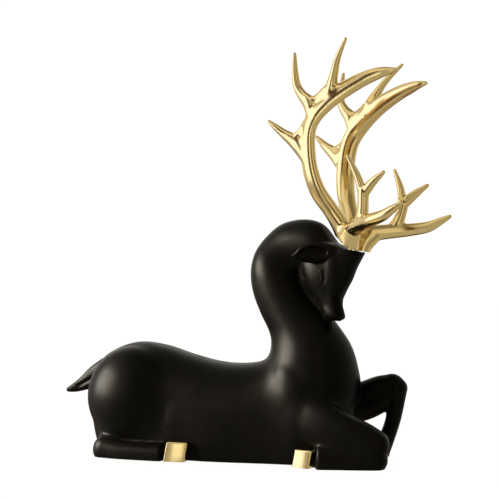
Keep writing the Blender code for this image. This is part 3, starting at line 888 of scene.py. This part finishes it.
def carve_tail(deer, side):
    """The groove along one side of the tail."""
    groove = [(x, y + side * half_width, z) for x, y, z, half_width in TAIL_GROOVE]
    refined(deer, [groove], TAIL_REFINED)
    carved(deer, groove, *TAIL_CUT)


def deer_body():
    """The deer's casting with hollow ears, the seat and sockets on the crown, and its fine carving."""
    deer = deer_skin()
    seat = head_matrix() @ seat_matrix()
    for name, side in HEAD_SIDES.items():
        combined(deer, f"ear_hollow_{name}", ear_hollow(side), "DIFFERENCE")
    combined(deer, "seat", placed(over_seat(), seat), "DIFFERENCE")
    for name, side in HEAD_SIDES.items():
        socket = cylinder(PEG_RADIUS + PEG_CLEARANCE, -PEG_LENGTH - PEG_CLEARANCE, PEG_ROOT, side)
        combined(deer, f"socket_{name}", placed(socket, seat), "DIFFERENCE")
    thinned(deer, SKIN_TRIANGLES)
    grounded(deer)
    for side in HEAD_SIDES.values():
        carve_face(deer, side)
    carved(deer, HAUNCH_GROOVE, *HAUNCH_CUT)
    for side in HEAD_SIDES.values():
        carve_tail(deer, side)
    return deer


def antler(name, side):
    """An antler cut flat just above the seat, with its peg."""
    item = joined(name, antler_shapes(side))
    fused(item, ANTLER_VOXEL, ANTLER_BLEND)
    filled(item, ANTLER_FILL)
    seat = seat_matrix()
    combined(item, "base_cut", placed(under_antler(), seat), "DIFFERENCE")
    combined(item, "peg", placed(cylinder(PEG_RADIUS, -PEG_LENGTH, PEG_ROOT, side), seat), "UNION")
    item.data.transform(head_matrix())
    return item


def node_material(name):
    """A new node material, its nodes, its links and its Principled shader."""
    made = bpy.data.materials.new(name)
    made.use_nodes = True
    nodes = made.node_tree.nodes
    links = made.node_tree.links
    return made, nodes, links, nodes["Principled BSDF"]


def noise(nodes, links, scale, detail=2.0):
    """A noise over the object's own coordinates, with a grain of 1 / scale metres."""
    place = nodes.new("ShaderNodeTexCoord")
    texture = nodes.new("ShaderNodeTexNoise")
    texture.inputs["Scale"].default_value = scale
    texture.inputs["Detail"].default_value = detail
    links.new(place.outputs["Object"], texture.inputs["Vector"])
    return texture.outputs["Fac"]


def ranged(nodes, links, source, low, high):
    """A noise's middle range stretched to run from low to high."""
    change = nodes.new("ShaderNodeMapRange")
    change.inputs["From Min"].default_value = NOISE_RANGE[0]
    change.inputs["From Max"].default_value = NOISE_RANGE[1]
    change.inputs["To Min"].default_value = low
    change.inputs["To Max"].default_value = high
    links.new(source, change.inputs["Value"])
    return change.outputs["Result"]


def mixed_colour(nodes, links, source, first, second):
    """The first colour where a noise is low, blending to the second where it is high."""
    ramp = nodes.new("ShaderNodeValToRGB")
    for element, position, colour in zip(ramp.color_ramp.elements, BLEND_RANGE, (first, second)):
        element.position = position
        element.color = (*colour, 1.0)
    links.new(source, ramp.inputs["Fac"])
    return ramp.outputs["Color"]


def bumped(nodes, links, shader, height, distance, strength):
    """Fine relief on the shader that is so many metres deep."""
    bump = nodes.new("ShaderNodeBump")
    bump.inputs["Distance"].default_value = distance
    bump.inputs["Strength"].default_value = strength
    links.new(height, bump.inputs["Height"])
    links.new(bump.outputs["Normal"], shader.inputs["Normal"])


def black_resin():
    """Satin black paint on cast resin, with a faint unevenness."""
    made, nodes, links, shader = node_material("satin_black_resin")
    tone = noise(nodes, links, scale=45.0, detail=3.0)
    links.new(mixed_colour(nodes, links, tone, (0.0015, 0.0014, 0.0010), (0.0024, 0.0021, 0.0015)),
              shader.inputs["Base Color"])
    polish = noise(nodes, links, scale=120.0, detail=4.0)
    links.new(ranged(nodes, links, polish, 0.33, 0.40), shader.inputs["Roughness"])
    shader.inputs["Specular IOR Level"].default_value = 0.067
    shader.inputs["Specular Tint"].default_value = (1.0, 0.88, 0.70, 1.0)
    grain = noise(nodes, links, scale=900.0, detail=3.0)
    bumped(nodes, links, shader, grain, distance=0.00006, strength=0.35)
    return made


def satin_gold():
    """Satin gold plating with a slightly uneven polish."""
    made, nodes, links, shader = node_material("satin_gold")
    tone = noise(nodes, links, scale=60.0)
    links.new(mixed_colour(nodes, links, tone, (0.81, 0.605, 0.255), (0.84, 0.635, 0.285)),
              shader.inputs["Base Color"])
    polish = noise(nodes, links, scale=200.0, detail=3.0)
    links.new(ranged(nodes, links, polish, 0.13, 0.17), shader.inputs["Roughness"])
    shader.inputs["Metallic"].default_value = 1.0
    grain = noise(nodes, links, scale=180.0)
    bumped(nodes, links, shader, grain, distance=0.00005, strength=0.2)
    return made


def pale_floor():
    """A white sweep that glows a little, so that it stays pale all round."""
    made, nodes, links, shader = node_material("pale_floor")
    tone = noise(nodes, links, scale=8.0)
    links.new(mixed_colour(nodes, links, tone, (0.16, 0.16, 0.16), (0.18, 0.18, 0.18)),
              shader.inputs["Base Color"])
    shader.inputs["Roughness"].default_value = 0.9
    shader.inputs["Specular IOR Level"].default_value = 0.0
    shader.inputs["Emission Color"].default_value = (1.0, 1.0, 1.0, 1.0)
    shader.inputs["Emission Strength"].default_value = FLOOR_GLOW
    return made


def backdrop_white():
    """An evenly lit white backdrop."""
    made, nodes, links, shader = node_material("backdrop_white")
    glow = nodes.new("ShaderNodeEmission")
    glow.inputs["Color"].default_value = (1.0, 1.0, 1.0, 1.0)
    glow.inputs["Strength"].default_value = DOME_GLOW
    links.new(glow.outputs["Emission"], nodes["Material Output"].inputs["Surface"])
    return made


def finished(item, finish, sharp_angle):
    """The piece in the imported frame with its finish, edges sharper than the angle left crisp."""
    item.data.transform(TO_FRAME)
    item.data.shade_smooth()
    item.data.set_sharp_from_angle(angle=math.radians(sharp_angle))
    item.data.materials.clear()
    item.data.materials.append(finish)
    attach(item, "root")


def floor_and_backdrop():
    """A floor disc under the figure and a white dome far behind it, seen by the camera alone."""
    shape = bmesh.new()
    bmesh.ops.create_circle(shape, cap_ends=True, segments=96, radius=FLOOR_RADIUS)
    floor = joined("floor", [shape])
    floor.data.materials.append(pale_floor())
    floor.location.z = -FLOOR_DROP
    shape = bmesh.new()
    bmesh.ops.create_uvsphere(shape, u_segments=64, v_segments=32, radius=DOME_RADIUS)
    bmesh.ops.reverse_faces(shape, faces=shape.faces)
    dome = joined("backdrop", [shape])
    dome.data.materials.append(backdrop_white())
    for item in (floor, dome):
        item.visible_glossy = False
        item.visible_diffuse = False
    dome.visible_shadow = False


def direction(azimuth, elevation):
    """The unit vector so many degrees round from -Y towards +X, and so many up."""
    azimuth, elevation = math.radians(azimuth), math.radians(elevation)
    across = math.cos(elevation)
    return Vector((math.sin(azimuth) * across, -math.cos(azimuth) * across, math.sin(elevation)))


def softbox(name, azimuth, elevation, size, radiance, colour, receivers):
    """A soft light in a direction, shining on some pieces alone."""
    light = bpy.data.lights.new(name, "AREA")
    light.shape = "RECTANGLE"
    light.size, light.size_y = size
    light.energy = radiance * math.pi * size[0] * size[1]
    light.color = colour
    item = bpy.data.objects.new(name, light)
    bpy.context.scene.collection.objects.link(item)
    away = direction(azimuth, elevation)
    item.location = Vector(LIGHT_TARGET) + LIGHT_DISTANCE * away
    item.rotation_euler = away.to_track_quat("Z", "Y").to_euler()
    item.light_linking.receiver_collection = receivers
    return item


def grouped(name, pieces):
    """A collection of the pieces, for lights that are set for one finish alone."""
    collection = bpy.data.collections.new(name)
    for piece in pieces:
        collection.objects.link(piece)
    return collection


def arithmetic(nodes, links, operation, first, second):
    """A maths node on two values, either of which may be another node's output."""
    node = nodes.new("ShaderNodeMath")
    node.operation = operation
    for socket, value in zip(node.inputs, (first, second)):
        if isinstance(value, bpy.types.NodeSocket):
            links.new(value, socket)
        else:
            socket.default_value = value
    return node.outputs["Value"]


def nearness(nodes, links, angle, middle, half_width, blur):
    """One where an angle is within the half width of the middle, falling to nought over the blur."""
    offset = nodes.new("ShaderNodeMath")
    offset.operation = "WRAP"
    links.new(arithmetic(nodes, links, "SUBTRACT", angle, middle), offset.inputs[0])
    offset.inputs[1].default_value = 180.0
    offset.inputs[2].default_value = -180.0
    fade = nodes.new("ShaderNodeMapRange")
    fade.interpolation_type = "SMOOTHSTEP"
    fade.inputs["From Min"].default_value = half_width
    fade.inputs["From Max"].default_value = half_width + blur
    fade.inputs["To Min"].default_value = 1.0
    fade.inputs["To Max"].default_value = 0.0
    links.new(arithmetic(nodes, links, "ABSOLUTE", offset.outputs["Value"], 0.0), fade.inputs["Value"])
    return fade.outputs["Result"]


def compass(nodes, links):
    """The azimuth and the elevation, in degrees, of the direction that the world is seen in."""
    place = nodes.new("ShaderNodeTexCoord")
    parts = nodes.new("ShaderNodeSeparateXYZ")
    links.new(place.outputs["Generated"], parts.inputs["Vector"])
    back = arithmetic(nodes, links, "MULTIPLY", parts.outputs["Y"], -1.0)
    azimuth = arithmetic(nodes, links, "ARCTAN2", parts.outputs["X"], back)
    elevation = arithmetic(nodes, links, "ARCSINE", parts.outputs["Z"], 0.0)
    return [arithmetic(nodes, links, "DEGREES", angle, 0.0) for angle in (azimuth, elevation)]


def studio_room():
    """A grey room with the paler and darker patches that the gold mirrors."""
    world = bpy.data.worlds.new("studio")
    bpy.context.scene.world = world
    world.use_nodes = True
    nodes, links = world.node_tree.nodes, world.node_tree.links
    azimuth, elevation = compass(nodes, links)
    paint = nodes.new("ShaderNodeRGB").outputs["Color"]
    paint.default_value = (*ROOM_COLOUR, 1.0)
    for (across, up), (half_width, half_height), blur, colour in ROOM_PATCHES:
        wide = nearness(nodes, links, azimuth, across, half_width, blur)
        high = nearness(nodes, links, elevation, up, half_height, blur)
        mix = nodes.new("ShaderNodeMixRGB")
        links.new(arithmetic(nodes, links, "MULTIPLY", wide, high), mix.inputs["Fac"])
        links.new(paint, mix.inputs["Color1"])
        mix.inputs["Color2"].default_value = (*colour, 1.0)
        paint = mix.outputs["Color"]
    links.new(paint, nodes["Background"].inputs["Color"])
    nodes["Background"].inputs["Strength"].default_value = 1.0


def studio(black_pieces, gold_pieces):
    """The room and the soft lights; the bounce from below is shaded by the gold alone."""
    studio_room()
    black_group = grouped("black", black_pieces)
    gold_group = grouped("gold", gold_pieces)
    softbox(*BLACK_LIGHT, black_group)
    for light in GOLD_LIGHTS:
        softbox(*light, gold_group)
    bounce = softbox(*BOUNCE_LIGHT, gold_group)
    bounce.light_linking.blocker_collection = gold_group
    bpy.context.scene.view_settings.view_transform = "Standard"


def camera():
    """The photograph's camera."""
    azimuth = math.radians(VIEW_AZIMUTH)
    item = bpy.data.objects.new("camera", bpy.data.cameras.new("camera"))
    bpy.context.scene.collection.objects.link(item)
    place = Vector((VIEW_DISTANCE * math.sin(azimuth), -VIEW_DISTANCE * math.cos(azimuth), VIEW_HEIGHT))
    item.location = TO_FRAME @ place
    item.rotation_euler = (math.radians(90), 0, azimuth)
    item.data.sensor_width = SENSOR_WIDTH
    item.data.lens = FOCAL_PIXELS / PHOTO_PIXELS * SENSOR_WIDTH
    item.data.clip_start = CLIP_START
    bpy.context.scene.camera = item


def build():
    """The camera, the deer, its hooves, its antlers and the studio, in that order."""
    camera()
    black, gold = black_resin(), satin_gold()
    body = deer_body()
    finished(body, black, BODY_SHARP_ANGLE)
    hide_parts("deer_body")
    gold_pieces = []
    for name, shape in hooves().items():
        piece = joined(f"hoof_{name}", [shape])
        finished(piece, gold, GOLD_SHARP_ANGLE)
        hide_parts("deer_body")
        gold_pieces.append(piece)
    for name, side in HEAD_SIDES.items():
        piece = antler(f"golden_antler_{name}", side)
        finished(piece, gold, GOLD_SHARP_ANGLE)
        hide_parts(f"antler_{name}")
        gold_pieces.append(piece)
    floor_and_backdrop()
    studio([body], gold_pieces)


build()
